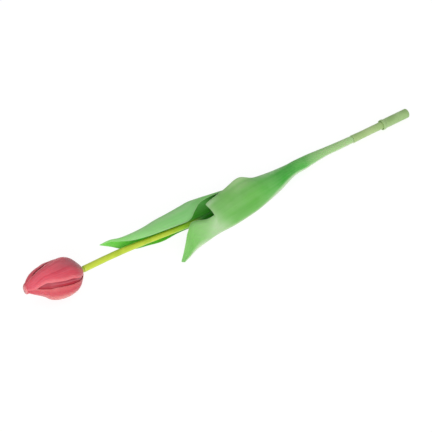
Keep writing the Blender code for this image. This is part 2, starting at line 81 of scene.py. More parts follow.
stem_x = -np.array(joints["leaf_fan"]["axis"])
stem_x = stem_x / np.linalg.norm(stem_x)
flower_turn = np.stack([stem_x, [0.0, 1.0, 0.0], np.cross(stem_x, [0.0, 1.0, 0.0])], axis=1)
flower_place = np.array(joints["leaf_fan"]["pos_m"])
lean_axis = (0.0, -math.cos(LEAN_SIDE), -math.sin(LEAN_SIDE))
bud_turn = flower_turn @ turn_about(lean_axis, BUD_TILT)
bud_place = np.array(joints["head_turn"]["pos_m"])
print("stem axis:", np.round(stem_x, 5), "bud axis:", np.round(-bud_turn[:, 0], 5))


def lay(points, turn=flower_turn, place=flower_place):
    """Points of the flower's frame in the world: the turn's matrix times each, plus the place."""
    return points @ turn.T + place


# %% [markdown]
# ## From a grid of points to a mesh
#
# Every piece here is a surface with two parameters: u runs across it and v along it. A thin sheet,
# such as a petal, could be one layer with a Solidify modifier. Here it is two layers, outer and
# inner, joined by a rounded rim, because then the wall can be thinner at the margin than in the
# middle. The grid's u and v also become the UV map, which the veins and streaks of the materials
# follow.

# %% Meshes from grids
def grid_quads(rows, columns):
    """Corners of the quads of a grid of points, as an array with four numbers a face."""
    corner = (np.arange(rows - 1)[:, None] * columns + np.arange(columns - 1)).ravel()
    return np.stack([corner, corner + 1, corner + columns + 1, corner + columns], axis=1)


def add_object(name, data):
    """An object linked to the scene."""
    made = bpy.data.objects.new(name, data)
    bpy.context.scene.collection.objects.link(made)
    return made


def mesh_piece(name, points, faces, uv, body, attributes=()):
    """A piece from arrays of points, faces and UV places per point. It rides on a body."""
    mesh = bpy.data.meshes.new(name)
    mesh.from_pydata(points.tolist(), [], [face.tolist() for face in faces])
    corners = np.empty(len(mesh.loops), dtype=np.int32)
    mesh.loops.foreach_get("vertex_index", corners)
    layer = mesh.uv_layers.new(name="UVMap")
    layer.data.foreach_set("uv", uv[corners].astype(np.float32).ravel())
    for label, values in attributes:
        mesh.attributes.new(label, "FLOAT", "POINT").data.foreach_set(
            "value", np.asarray(values, dtype=np.float32))
    mesh.shade_smooth()
    piece = add_object(name, mesh)
    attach(piece, body)
    mesh.calc_loop_triangles()
    print(name, "has", len(mesh.loop_triangles), "triangles")
    return piece


def sheet_normals(grid):
    """Unit normals of a grid: the cross product of its two differences."""
    normals = np.cross(np.gradient(grid, axis=1), np.gradient(grid, axis=0))
    return normals / np.linalg.norm(normals, axis=2, keepdims=True)


def rim_loop(rows, columns):
    """The numbers of a grid's border points, once round."""
    index = np.arange(rows * columns).reshape(rows, columns)
    return np.concatenate([index[0, :-1], index[:-1, -1], index[-1, :0:-1], index[:0:-1, 0]])


def closed_sheet(name, outer, inner, body, shaded=None):
    """A closed shell of two grids, with a border row half-way that stands out a little.

    The border point is the mean of the two rim points, moved off the sheet by a third of the wall.
    The attribute "inside" tells the two faces apart, and "shaded" holds a value for each grid point.
    """
    rows, columns = outer.shape[:2]
    count = rows * columns
    loop = rim_loop(rows, columns)
    middle = (outer + inner) / 2
    padded = np.pad(middle, ((1, 1), (1, 1), (0, 0)), mode="reflect")
    beyond = (2 * middle - (padded[2:, 1:-1] + padded[:-2, 1:-1] + padded[1:-1, 2:]
                            + padded[1:-1, :-2]) / 2).reshape(-1, 3)[loop]
    wall = np.linalg.norm(outer - inner, axis=2).reshape(-1)[loop]
    beyond = beyond / np.maximum(np.linalg.norm(beyond, axis=1, keepdims=True), 1e-9)
    rim = middle.reshape(-1, 3)[loop] + beyond * wall[:, None] / 3
    points = np.concatenate([outer.reshape(-1, 3), inner.reshape(-1, 3), rim])
    quads = grid_quads(rows, columns)
    after = np.roll(loop, -1)
    edge = 2 * count + np.arange(len(loop))
    edge_after = np.roll(edge, -1)
    faces = np.concatenate([
        quads, quads[:, ::-1] + count,
        np.stack([after, loop, edge, edge_after], axis=1),
        np.stack([edge_after, edge, loop + count, after + count], axis=1)])
    if (sheet_normals(outer) * (outer - inner)).sum() < 0:
        faces = faces[:, ::-1]
    across, along = np.linspace(0.0, 1.0, columns), np.linspace(0.0, 1.0, rows)
    uv = np.stack(np.meshgrid(across, along), axis=2).reshape(-1, 2)
    uv = np.concatenate([uv, uv, uv[loop]])
    inside = np.repeat([0.0, 1.0, 0.5], [count, count, len(loop)])
    flat = np.zeros(count) if shaded is None else np.broadcast_to(shaded, (rows, columns)).ravel()
    return mesh_piece(name, points, faces, uv, body, [
        ("inside", inside), ("shaded", np.concatenate([flat, flat, flat[loop]]))])


def turned(name, profile, sides, body, turn=flower_turn, place=flower_place, bend=None):
    """A turned piece: (x, radius) pairs carried round X, closed back on themselves.

    A bend moves each ring's centre: it is a function from x to a point. The faces are turned round
    if the volume that they enclose, a sum of a x b . c over their triangles, comes out negative.
    """
    x, radius = np.array(profile).T
    angle = np.linspace(0.0, 2 * math.pi, sides, endpoint=False)
    points = round_the_stem(x[:, None], angle[None, :], radius[:, None])
    if bend is not None:
        points[..., 1:] += bend(x)[:, None, 1:]
    rows = len(x)
    index = np.arange(rows * sides).reshape(rows, sides)
    right, up = np.roll(index, -1, axis=1), np.roll(index, -1, axis=0)
    faces = np.stack([index, up, np.roll(up, -1, axis=1), right], axis=2).reshape(-1, 4)
    run = np.concatenate([[0.0], np.cumsum(np.hypot(np.diff(x), np.diff(radius)))])
    uv = np.stack(np.meshgrid(angle / (2 * math.pi), run / run[-1]), axis=2).reshape(-1, 2)
    points = lay(points.reshape(-1, 3), turn, place)
    a, b, c, d = (points[faces[:, corner]] for corner in range(4))
    if (np.cross(b - a, c - a) * a).sum() + (np.cross(c - a, d - a) * a).sum() < 0:
        faces = faces[:, ::-1]
    return mesh_piece(name, points, faces, uv, body)


# %% [markdown]
# ## The stem
#
# The real stem is a steel wire in a soft plastic sleeve, six millimetres thick, which bows a little
# inside the leaves, and swells a little towards the bud. It could be a Bezier curve with a bevel.
# A profile carried round the axis, with its rings moved along the bow, gives the same tube with an
# open bore for the wire and the peg.

# %% The stem's sleeve
STEM_RADIUS, STEM_BORE, STEM_SIDES = 0.0030, 0.0016, 40
SLEEVE_START, SLEEVE_STOP = -0.171315, 0.2317
BOW, BOW_START, BOW_PEAK, BOW_STOP = 0.0068, -0.152515, -0.010, 0.048
SWELL, SWELL_STOP, SWELL_LENGTH = 0.00025, -0.105, 0.030
EDGE, UNEVENNESS = 0.0003, 0.00004


def stem_centre(x):
    """The stem's middle: half a cosine wave up from the bow's start, and half a wave back down."""
    rise = np.clip((x - BOW_START) / (BOW_PEAK - BOW_START), 0.0, 1.0)
    fall = np.clip((BOW_STOP - x) / (BOW_STOP - BOW_PEAK), 0.0, 1.0)
    bow = BOW * (1 - np.cos(math.pi * np.minimum(rise, fall))) / 2
    return round_the_stem(x, LEAN_SIDE, bow)


places = np.linspace(SLEEVE_START + EDGE, SLEEVE_STOP - EDGE, 161)
skin = STEM_RADIUS - UNEVENNESS * (1 + np.sin(places * 430.0)) * (np.sin(places * 57.0) ** 2)
swell = np.clip((SWELL_STOP - places) / SWELL_LENGTH, 0.0, 1.0)
skin = skin + SWELL * swell * swell * (3 - 2 * swell)
outline = [(SLEEVE_START, STEM_BORE), (SLEEVE_START, STEM_RADIUS - EDGE), *zip(places, skin),
           (SLEEVE_STOP, STEM_RADIUS - EDGE), (SLEEVE_STOP, STEM_BORE)]
outline += [(x, STEM_BORE) for x in places[::-4]]
stem = turned("stem_skin", outline, STEM_SIDES, "stem", bend=stem_centre)
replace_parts(stem, "stem_sleeve")

# %% [markdown]
# ## The bottom sleeve and the end cap
#
# Below the leaves the stem carries a thicker pale tube, and on its end sits a cap with a beaded,
# open mouth. Both are turned shapes. Their edges are rounded by a few extra points in the profile,
# which is lighter than a Bevel modifier and stays exactly round.

# %% Bottom sleeve and cap
SLEEVE_GAP, ON_AXIS = 0.0003, 0.00002
TUBE_RADIUS, TUBE_START, TUBE_STOP, TUBE_SIDES = 0.0041, 0.1600, 0.2243, 48
ROUNDING, FLARE, FLARE_LENGTH, TUBE_UNEVENNESS = 0.0005, 0.0003, 0.007, 0.00005
CAP_MOUTH, CAP_LENGTH, CAP_FLOOR, CAP_SIDES = 0.1995, 0.0355, 0.0030, 64
CAP_RADIUS, CAP_CORNER, LIP = 0.0052, 0.0012, 0.0004
BEAD_RADIUS, BEAD_LENGTH, BEAD_HEIGHT = 0.0058, 0.0040, 0.0009


def arc(centre, radii, start, stop, count):
    """Points of an arc of an ellipse, from one angle to another in degrees."""
    turn = np.radians(np.linspace(start, stop, count))
    return list(zip(centre[0] + radii[0] * np.cos(turn), centre[1] + radii[1] * np.sin(turn)))


bore = STEM_RADIUS + SLEEVE_GAP
rounded = (ROUNDING, ROUNDING)
run = np.linspace(TUBE_START + 0.0015, TUBE_STOP - 0.004, 41)
tube = [(TUBE_START, bore)]
tube += arc((TUBE_START + ROUNDING, TUBE_RADIUS + FLARE - ROUNDING), rounded, 180, 90, 6)
tube += [(x, TUBE_RADIUS - TUBE_UNEVENNESS * (1 - math.cos(x * 900.0))
          + FLARE * math.exp(-((x - TUBE_START) / FLARE_LENGTH) ** 2)) for x in run]
tube += arc((TUBE_STOP - ROUNDING, TUBE_RADIUS - ROUNDING), rounded, 90, 0, 6)
tube += [(TUBE_STOP, bore)] + [(x, bore) for x in run[::-5]]
bottom_sleeve = turned("bottom_sleeve_skin", tube, TUBE_SIDES, "stem")
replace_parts(bottom_sleeve, "bottom_sleeve")

cap_bore = TUBE_RADIUS + SLEEVE_GAP
end = CAP_MOUTH + CAP_LENGTH
cap = [(end - CAP_FLOOR, ON_AXIS), (end - CAP_FLOOR, cap_bore - EDGE),
       (end - CAP_FLOOR - EDGE, cap_bore)]
cap += [(x, cap_bore) for x in np.linspace(end - CAP_FLOOR - 0.002, CAP_MOUTH + 0.002, 12)]
cap += [(CAP_MOUTH + LIP, cap_bore + LIP * 0.35)]
cap += arc((CAP_MOUTH + BEAD_LENGTH * 0.22, (cap_bore + LIP + BEAD_RADIUS) / 2),
           (BEAD_LENGTH * 0.22, (BEAD_RADIUS - cap_bore - LIP) / 2), 225, 90, 9)
cap += arc((CAP_MOUTH + BEAD_LENGTH * 0.55, BEAD_RADIUS - BEAD_HEIGHT),
           (BEAD_LENGTH * 0.42, BEAD_HEIGHT), 88, 25, 8)
cap += [(CAP_MOUTH + BEAD_LENGTH + 0.0004, CAP_RADIUS - 0.0002),
        (CAP_MOUTH + BEAD_LENGTH + 0.0012, CAP_RADIUS - 0.00008)]
cap += [(x, CAP_RADIUS - 0.00004) for x in np.linspace(CAP_MOUTH + 0.007, end - 0.003, 16)]
cap += arc((end - CAP_CORNER, CAP_RADIUS - CAP_CORNER), (CAP_CORNER, 0.00116), 90, 8, 9)
cap += [(end - 0.00004, CAP_RADIUS * 0.55), (end - 0.00016, CAP_RADIUS * 0.35),
        (end - 0.0002, ON_AXIS)]
end_cap = turned("end_cap_skin", cap, CAP_SIDES, "cap")
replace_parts(end_cap, "end_cap")

# %% [markdown]
# ## The bud's form
#
# A closed tulip bud is an egg that leans: a rounded foot, a full belly and a slim tip that bulges
# to one side. Three outer petals wrap it from groove to groove, and three inner ones show in the
# grooves. The form could be sculpted by hand. Tables of a few heights, carried on by smooth curves,
# are easier to correct against a photograph, and every petal reads the same tables.
#
# A section is a place along the bud, its radius and its shift, in thousandths of BUD_LENGTH,
# BUD_RADIUS and BUD_BULGE. A groove row is a share of the length, and then the middle and the half
# width, in degrees, of each of the three grooves.

# %% Tables of the bud
BUD_LENGTH, BUD_RADIUS, BUD_BULGE = 0.0615, 0.0200, 0.0036
PETAL_TUCK, PETAL_FOOT, LEAST_GROOVE = 0.0009, 0.0006, 0.00028
INNER_SINK, INNER_FOOT, INNER_TOP = 0.0017, 0.0018, 0.0565
SECTIONS = np.array([
    (0, 260, 0), (20, 350, 40), (47, 470, 60), (80, 605, 100), (120, 745, 140), (180, 885, 180),
    (250, 965, 220), (340, 1000, 180), (450, 990, 200), (560, 945, 360), (630, 865, 520),
    (690, 755, 900), (755, 645, 1130), (820, 535, 1200), (885, 395, 1130), (930, 275, 1000),
    (965, 195, 850), (1000, 165, 620)]) / 1000
GROOVES = np.array([
    (0.00, 85, 3, 180, 3, 299, 3), (0.05, 83, 7, 180, 3.5, 300, 3.8),
    (0.12, 74.3, 6.3, 180, 4.5, 302, 5), (0.20, 68.2, 7.3, 180, 5.3, 305, 5),
    (0.27, 64.5, 9, 180, 6, 310, 4), (0.40, 61, 8.5, 180, 7.1, 318, 3),
    (0.50, 58.4, 8.8, 180, 8, 324.5, 3), (0.60, 57.5, 10, 180, 8, 329.5, 3.5),
    (0.66, 60.0, 12.5, 180, 8, 332.5, 4), (0.75, 67.0, 9.5, 180, 5.7, 338, 4.4),
    (0.80, 70.0, 5.0, 180, 4, 343, 4), (0.86, 72.2, 2.2, 180, 3.1, 352, 3),
    (0.93, 72, 2.4, 180, 2.5, 350, 2.5), (1.00, 70, 2.5, 180, 2.5, 342, 2.5)])


def cubic(values, slopes, index, share, width=1.0):
    """The cubic from one value to the next, at a share of the way, with the slope given for each."""
    square, cube = share ** 2, share ** 3
    return (values[index] * (2 * cube - 3 * square + 1) + values[index + 1] * (3 * square - 2 * cube)
            + width * slopes[index] * (cube - 2 * square + share)
            + width * slopes[index + 1] * (cube - square))


def smooth(places, values, at):
    """A smooth curve through the given values: between two of them runs the cubic that leaves and
    arrives with a slope weighed from the two lines that meet there."""
    index = np.clip(np.searchsorted(places, at, side="right") - 1, 0, len(places) - 2)
    width = places[index + 1] - places[index]
    return cubic(values, np.gradient(values, places), index, (at - places[index]) / width, width)


def bud_radius(height):
    """The bud's radius at a height over its base."""
    return BUD_RADIUS * smooth(SECTIONS[:, 0], SECTIONS[:, 1], height / BUD_LENGTH)


def bud_middle(height):
    """The centre of the bud's section at a height: it bulges to one side towards the tip."""
    shift = BUD_BULGE * smooth(SECTIONS[:, 0], SECTIONS[:, 2], height / BUD_LENGTH)
    return round_the_stem(-height, LEAN_SIDE + math.pi, shift)


def groove_edge(number, height, side):
    """The angle of a groove's edge: its middle, plus or minus half its width."""
    middle, half = (np.radians(smooth(GROOVES[:, 0], GROOVES[:, column + 2 * number],
                                      height / BUD_LENGTH)) for column in (1, 2))
    return middle + side * np.maximum(half, LEAST_GROOVE / bud_radius(height))


print("bud radius at half its length, mm:", round(1000 * float(bud_radius(BUD_LENGTH / 2)), 2))

# %% [markdown]
# ## Petals
#
# Each outer petal is one shaped sheet: it is ribbed lengthwise, has a shallow crease along its
# middle, and its margin is thin and curls at the tip. All of that is one formula for the radius.
# Ribs and crease are taken away from the bud's form, so no rib can push through a neighbour.

# %% Outer and inner petals
PETAL_ROWS, PETAL_COLUMNS = 170, 120
RIB_DEPTH, CREASE_DEPTH, WAVE_DEPTH, SKIN = 0.00026, 0.00012, 0.00014, 0.00012
PETAL_WALL, MARGIN_THINNING, LEAST_RADIUS = 0.00075, 0.00045, 0.0004
LAP_START, LAP_LENGTH = 0.78, 0.08
TIP_DOME, TIP_CLOSING, TIP_GAP = 0.0019, 0.80, 0.0002
OUTER_POINT, INNER_POINT = 0.0003, 0.0050
INNER_SPREAD = math.radians(56.0)


def hump(value, middle, width):
    """A smooth bump of height one: e to the minus square of the distance over the width."""
    return np.exp(-((value - middle) / width) ** 2)


def ease(value, low, high):
    """Nought below the low value, one above the high one, and a smooth step between them."""
    share = np.clip((value - low) / (high - low), 0.0, 1.0)
    return share * share * (3 - 2 * share)


def ripples(across, along, phase):
    """Uneven lengthwise ribs, from nought to one: sines across whose phase drifts along."""
    drift = 0.35 * np.sin(3.1 * along + phase)
    first = np.sin(9.0 * across + 2.0 * drift + phase)
    second = np.sin(22.0 * across + 5.0 * drift + 2.3 * phase)
    third = np.sin(47.0 * across - 6.0 * drift + 0.7 * phase)
    return 0.5 + 0.26 * first + 0.15 * second + 0.09 * third


def lapping(height):
    """How far a margin laps: nought on the belly, one near the tip, nought at the very end."""
    level = height / BUD_LENGTH
    return ease(level, LAP_START, LAP_START + LAP_LENGTH) * (1 - ease(level, 0.94, 0.99))


def tuck(radius):
    """How far a petal's margins are tucked in: less where the bud is slim."""
    return PETAL_TUCK * np.minimum(radius / BUD_RADIUS * 1.3, 1.0)


def petal_sheet(before, after, height, depth, phase, curl=0.0, lift=(0.0, 0.0)):
    """The outer face and the inner face of a petal.

    Radius = bud's radius - depth - tuck x share^4 - ribs - crease - wave + curl at the tip, and near
    the tip each margin is lifted over its neighbour or sunk under it. The last two millimetres draw
    in along a quarter of a circle, so that the three tips close into a small knob.
    """
    share = np.linspace(-1.0, 1.0, height.shape[1])[None, :]
    level = height / BUD_LENGTH
    radius = bud_radius(height) - depth - SKIN
    angle = (before + after) / 2 + (after - before) / 2 * share
    belly = ease(level, 0.03, 0.22) * (1 - ease(level, 0.80, 0.97))
    ribs = RIB_DEPTH * ripples(share, level, phase) * belly * (1 - 0.5 * share ** 6)
    crease = (CREASE_DEPTH * hump(share, 0.04, 0.11) * ease(level, 0.10, 0.3)
              * (1 - ease(level, 0.7, 0.95)))
    wave = WAVE_DEPTH * (1 + np.sin(9.0 * level + phase)) * share ** 6 * belly
    curled = curl * ease(height, height.max() - 0.0044, height.max() - 0.0014)
    margins = (lift[0] * ease(-share, 0.4, 1.0) * lapping(height)
               + lift[1] * ease(share, 0.4, 1.0) * lapping(height))
    radius = radius - tuck(radius) * share ** 4 - ribs - crease - wave + curled + margins
    close = np.clip((height - height.max()) / TIP_DOME + 1.0, 0.0, 1.0)
    radius = radius * (1 - TIP_CLOSING * (1 - np.sqrt(1 - close ** 2)))
    wall = (PETAL_WALL - MARGIN_THINNING * np.abs(share) ** 3) * (1 - 0.45 * ease(level, 0.85, 1.0))
    return [lay(bud_middle(height) + round_the_stem(0.0, angle, reach), bud_turn, bud_place)
            for reach in (radius, np.maximum(radius - wall, LEAST_RADIUS))]


def height_grid(low, top, point):
    """Heights of a petal's points: rows packed at root and tip, and a tip that is highest in its
    middle: the top falls by the point's length times share^2."""
    turn = np.linspace(0.0, math.pi, PETAL_ROWS)
    eased = 0.6 * (1 - np.cos(turn)) / 2 + 0.4 * np.linspace(0.0, 1.0, PETAL_ROWS)
    share = np.linspace(-1.0, 1.0, PETAL_COLUMNS)
    return low + (top - point * share ** 2 - low) * eased[:, None]


outer_petals, inner_petals = [], []
# For each outer petal: the curl and the fall of its tip, and the laps, in degrees, and the lifts of
# its two margins.
OUTER_TIPS = [(0.0012, 0.0, (4.5, 4.0), (0.0006, 0.0007)), (0.0012, 0.0004, (4.0, 0.0), (-0.0006, 0.0)),
              (0.0010, 0.0006, (0.0, 4.5), (0.0, -0.0007))]
for number, (curl, fall, laps, lifts) in enumerate(OUTER_TIPS):
    height = height_grid(PETAL_FOOT, BUD_LENGTH - TIP_GAP - fall, OUTER_POINT)
    before = groove_edge((number + 2) % 3, height, 1)
    before = np.where(before > math.pi, before - 2 * math.pi, before) if number == 0 else before
    after = groove_edge(number, height, -1)
    outer, inner = petal_sheet(before - math.radians(laps[0]) * lapping(height),
                               after + math.radians(laps[1]) * lapping(height),
                               height, 0.0, 1.3 + 2.1 * number, curl, lifts)
    piece = closed_sheet(f"outer_petal_skin_{number + 1}", outer, inner, "head")
    outer_petals.append(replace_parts(piece, f"outer_petal_{number + 1}"))

    height = height_grid(INNER_FOOT, INNER_TOP, INNER_POINT)
    middle = math.radians(60.0 + 120.0 * number)
    start, stop = middle - INNER_SPREAD, middle + INNER_SPREAD
    outer, inner = petal_sheet(start, stop, height, INNER_SINK, 0.4 + 1.7 * number)
    angle = np.linspace(start, stop, PETAL_COLUMNS)
    first, last = groove_edge(number, height, -1), groove_edge(number, height, 1)
    last = np.where(last < first, last + 2 * math.pi, last)
    piece = closed_sheet(f"inner_petal_skin_{number + 1}", outer, inner, "head",
                         (angle - first) / (last - first))
    inner_petals.append(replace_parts(piece, f"inner_petal_{number + 1}"))

# %% [markdown]
# ## Leaves
#
# Each leaf is one sheet: its root clasps the stem as a sheath and its blade opens, folds over and
# ends in a point. Freehand sculpting would lose the clasp. A net of stations is carried on smoothly
# in both directions, and the veins and the wavy margin are moves along the surface's normal. A
# station is the place of its first and its last point, in thousandths of the leaf's length, the
# points' angles round the stem in degrees, and their heights over the sheath, in hundredths of the
# leaf's reach.
#
# One fault is left. At the outer leaf's mouth, where its margin turns back, the fold is about as
# tight as the wall is thick, and the inner face crosses itself over some two millimetres. The mend
# would be a rounder fold in the stations there.

# %% Nets of the leaves
SHEATH_RADIUS, LEAF_WALL, WALL_SPARE, VEIN_HEIGHT = 0.0037, 0.0006, 0.00006, 0.00009
LEAF_ROWS, LEAF_COLUMNS = 330, 130
DENTS = [(0.0016, 0.765, 0.765, 0.040, -1.3, -0.86), (-0.0005, 0.52, 0.60, 0.050, -0.8, 0.2)]
INNER_LEAF = [
    (0, 0, (90, 21, -48, -116, -185, -254), (0, 0, 0, 0, 0, 0)),
    (138, 138, (90, 21, -48, -116, -185, -254), (0, 0, 0, 0, 0, 0)),
    (163, 163, (88, 20, -48, -116, -184, -252), (0, 0, 0, 0, 0, 0)),
    (237, 237, (21, -27, -69, -114, -164, -207), (13, 15, 15, 15, 17, 18)),
    (334, 334, (-32, -54, -78, -111, -155, -204), (28, 34, 34, 29, 30, 48)),
    (440, 440, (-49, -56, -69, -93, -147, -225), (54, 64, 65, 53, 36, 76)),
    (530, 530, (-31, -41, -54, -83, -142, -226), (55, 76, 88, 72, 43, 74)),
    (579, 579, (10, -20, -48, -83, -142, -216), (41, 72, 98, 76, 41, 57)),
    (619, 619, (53, -4, -47, -87, -145, -212), (41, 62, 93, 71, 41, 49)),
    (677, 677, (49, -4, -47, -88, -146, -212), (40, 61, 85, 68, 41, 47)),
    (742, 742, (39, -9, -49, -89, -149, -215), (32, 59, 79, 63, 40, 51)),
    (807, 807, (26, -13, -49, -87, -137, -196), (24, 50, 66, 57, 36, 38)),
    (864, 864, (-2, -26, -51, -81, -122, -177), (21, 53, 65, 55, 31, 30)),
    (913, 913, (-29, -38, -52, -71, -91, -126), (42, 62, 72, 62, 38, 14)),
    (954, 954, (-44, -47, -52, -59, -66, -74), (74, 86, 90, 82, 63, 38)),
    (1000, 1000, (-48, -49, -51, -52, -53, -55), (88, 89, 90, 89, 88, 87))]
OUTER_LEAF = [
    (0, 0, (-124, -67, -10, 48, 105, 162, 219), (0, 0, 0, 0, 0, 0, 0)),
    (73, 73, (-124, -67, -10, 48, 105, 162, 219), (1, 1.5, 1, 0, 0, 0, 0.5)),
    (152, 152, (-124, -67, -10, 48, 105, 162, 219), (3, 4, 3, 1, 0, 0, 2)),
    (231, 231, (-123, -66, -10, 48, 104, 161, 217), (6, 7, 6, 5, 5, 5, 6)),
    (268, 268, (-121, -65, -8, 49, 103, 156, 209), (7, 7, 8, 8, 8, 8, 7)),
    (309, 309, (-115, -62, -5, 50, 98, 142, 188), (6, 7, 8, 8, 9, 9, 7)),
    (350, 350, (-107, -57, -1, 51, 91, 124, 159), (6, 6, 7, 9, 13, 15, 8)),
    (424, 424, (-87, -47, 15, 63, 94, 119, 136), (7, 8, 8, 16, 25, 32, 22)),
    (503, 503, (-68, -39, 21, 65, 94, 117, 128), (14, 13, 13, 24, 37, 46, 34)),
    (569, 569, (-57, -28, 26, 65, 93, 115, 121), (32, 18, 17, 29, 44, 56, 46)),
    (660, 643, (-35, -1, 40, 69, 92, 112, 120), (22, 18, 21, 35, 50, 63, 53)),
    (717, 697, (-16, 15, 49, 72, 92, 112, 119), (20, 20, 27, 40, 54, 66, 56)),
    (782, 751, (13, 34, 57, 76, 93, 111, 118), (22, 26, 34, 46, 58, 67, 59)),
    (761, 809, (61, 68, 75, 84, 96, 110, 117), (29, 36, 44, 54, 63, 70, 63)),
    (805, 850, (67, 74, 82, 90, 100, 110, 115), (40, 46, 53, 60, 67, 74, 70)),
    (877, 883, (53, 66, 79, 89, 100, 108, 112), (36, 43, 53, 61, 69, 78, 75)),
    (917, 916, (75, 82, 90, 97, 103, 108, 110), (44, 53, 62, 69, 77, 83, 84)),
    (945, 945, (92, 95, 99, 102, 105, 107, 108), (60, 69, 76, 81, 86, 90, 92)),
    (974, 966, (101, 102, 103, 105, 106, 107, 108), (80, 85, 87, 90, 93, 95, 96)),
    (1000, 984, (104, 104, 105, 105, 106, 106, 107), (97, 98, 99, 100, 100, 101, 101))]


def through(points, count):
    """Points on a smooth curve through rows of given ones, evenly spaced in their number."""
    places = np.linspace(0.0, len(points) - 1.0, count)
    index = np.minimum(places.astype(int), len(points) - 2)
    share = (places - index).reshape((-1,) + (1,) * (points.ndim - 1))
    return cubic(points, np.gradient(points, axis=0), index, share)


def leaf_net(stations, sheath_end, length, reach):
    """The leaf's middle surface. Place, angle and radius are each smoothed, and then bent round."""
    net = []
    for first, last, angles, heights in stations:
        places = sheath_end - length * np.linspace(first / 1000, last / 1000, len(angles))
        net.append(np.stack([places, np.radians(angles),
                             SHEATH_RADIUS + reach * (np.array(heights) / 100)], axis=1))
    drawn = through(np.array(net), LEAF_ROWS)
    drawn = through(drawn.transpose(1, 0, 2), LEAF_COLUMNS).transpose(1, 0, 2)
    return round_the_stem(drawn[..., 0], drawn[..., 1], drawn[..., 2])


def add_leaf(name, stations, sheath_end, length, reach, body, phase, wave, dents=()):
    """A leaf: the net, moved along its normals by veins, waves and dents, less near the stem.

    Move = veins + margin wave x share^4 - dents. The wall is 0.54 mm at the root, 0.27 mm along the
    blade's middle and 0.14 mm at its margins. A dent is a depth, a place along at each margin, a
    width, and the part of the leaf it covers; one of negative depth is a rise.
    """
    grid = leaf_net(stations, sheath_end, length, reach)
    away = 1 if stations[0][2][-1] < stations[0][2][0] else -1
    normals = sheet_normals(grid) * away
    v = np.linspace(0.0, 1.0, LEAF_ROWS)[:, None]
    share = np.linspace(-1.0, 1.0, LEAF_COLUMNS)[None, :]
    free = ease(v, 0.32, 0.5)
    veins = VEIN_HEIGHT * (ripples(1.6 * share, v, phase) - 0.5) * ease(v, 0.1, 0.3)
    edge = wave * np.sin(31.0 * v + 2.0 * share + phase) * share ** 4 * free * (1 - ease(v, 0.85, 1.0))
    move = veins + edge
    for depth, first, last, width, start, stop in dents:
        line = first + (last - first) * (share + 1) / 2
        covered = ease(share, start - 0.25, start) * (1 - ease(share, stop, stop + 0.25))
        move = move - depth * hump(v, line, width) * covered
    middle = grid + normals * move[..., None]
    wall = LEAF_WALL * (1 - 0.45 * free) * (1 - 0.4 * np.abs(share) ** 5 * free) - WALL_SPARE
    outer = lay(middle + normals * wall[..., None] / 2)
    inner = lay(middle - normals * wall[..., None] / 2)
    return closed_sheet(name, outer, inner, body)


outer_leaf = add_leaf("outer_leaf_skin", OUTER_LEAF, 0.1597, 0.2420, 0.036, "leaf_outer", 0.6,
                      0.00030, DENTS)
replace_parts(outer_leaf, "outer_leaf")
inner_leaf = add_leaf("inner_leaf_skin", INNER_LEAF, 0.100, 0.2454, 0.012, "leaf_inner", 2.4, 0.00018)
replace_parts(inner_leaf, "inner_leaf")

# %% [markdown]
# ## The foam inside
#
# A foam plug fills the bud and holds the peg. It hardly shows, but the head can be pulled off, so
# it is a real piece: a turned shape whose rings follow the bud's bulge.

# %% The foam plug
PLUG_FOOT, PLUG_TOP, PLUG_ROOM, PLUG_SIDES = 0.0045, 0.0517, 0.0021, 64
PEG_HOLE, HOLE_DEPTH = 0.0025, 0.0106
level = np.linspace(PLUG_FOOT, PLUG_TOP - 0.002, 60)
room = bud_radius(level) - INNER_SINK
room = room - tuck(room) - PLUG_ROOM
plug = [(-HOLE_DEPTH, ON_AXIS), (-HOLE_DEPTH, PEG_HOLE), (-PLUG_FOOT, PEG_HOLE),
        *zip(-level, room), (-PLUG_TOP + 0.0005, 0.0009), (-PLUG_TOP, ON_AXIS)]
foam = turned("foam_plug", plug, PLUG_SIDES, "head", bud_turn, bud_place,
              lambda x: bud_middle(-x))
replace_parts(foam, "bud_core")

# %% [markdown]
# ## Shader groups
#
# Several finishes share the same effects: streaks that run along the piece, soft clouds where the
# colour is uneven, a fine grain, and a mask for the thin margins. Each is a node group, built once,
# with named inputs and outputs. They put out masks, heights and the place on a sheet; every colour
# is mixed in the material itself, so that one group serves petals, leaves and tubes.

# %% Node helpers
def linear(red, green, blue):
    """A colour written as on a screen, 0 to 255, turned into the linear values that nodes take."""
    return tuple((max(value, 0) / 255 / 1.055 + 0.055 / 1.055) ** 2.4 if value > 10
                 else value / 255 / 12.92 for value in (red, green, blue)) + (1.0,)


def feed(tree, made, inputs):
    """Inputs maps a socket's name or number to a value, or to an output to link."""
    for label, value in dict(inputs).items():
        if isinstance(value, bpy.types.NodeSocket):
            tree.links.new(value, made.inputs[label])
        else:
            made.inputs[label].default_value = value


def node(tree, kind, inputs=(), **settings):
    """A node with its settings and its inputs."""
    made = tree.nodes.new(kind)
    for label, value in settings.items():
        setattr(made, label, value)
    feed(tree, made, inputs)
    return made


def maths(tree, operation, *values):
    """The output of a Math node over values or other outputs."""
    return node(tree, "ShaderNodeMath", enumerate(values), operation=operation).outputs[0]


def times(tree, first, second):
    """The product of two values or outputs."""
    return maths(tree, "MULTIPLY", first, second)


def remap(tree, value, low, high, start=0.0, stop=1.0):
    """A value carried from one range to another along a smooth step."""
    return node(tree, "ShaderNodeMapRange", {"Value": value, "From Min": low, "From Max": high,
                                             "To Min": start, "To Max": stop},
                interpolation_type="SMOOTHSTEP").outputs["Result"]


def band(tree, value, place, reach, strength=1.0, core=0.0):
    """A mask that has its strength within the core round a place, and is nought past the reach."""
    off = maths(tree, "ABSOLUTE", maths(tree, "SUBTRACT", value, place))
    return remap(tree, off, core, reach, strength, 0.0)


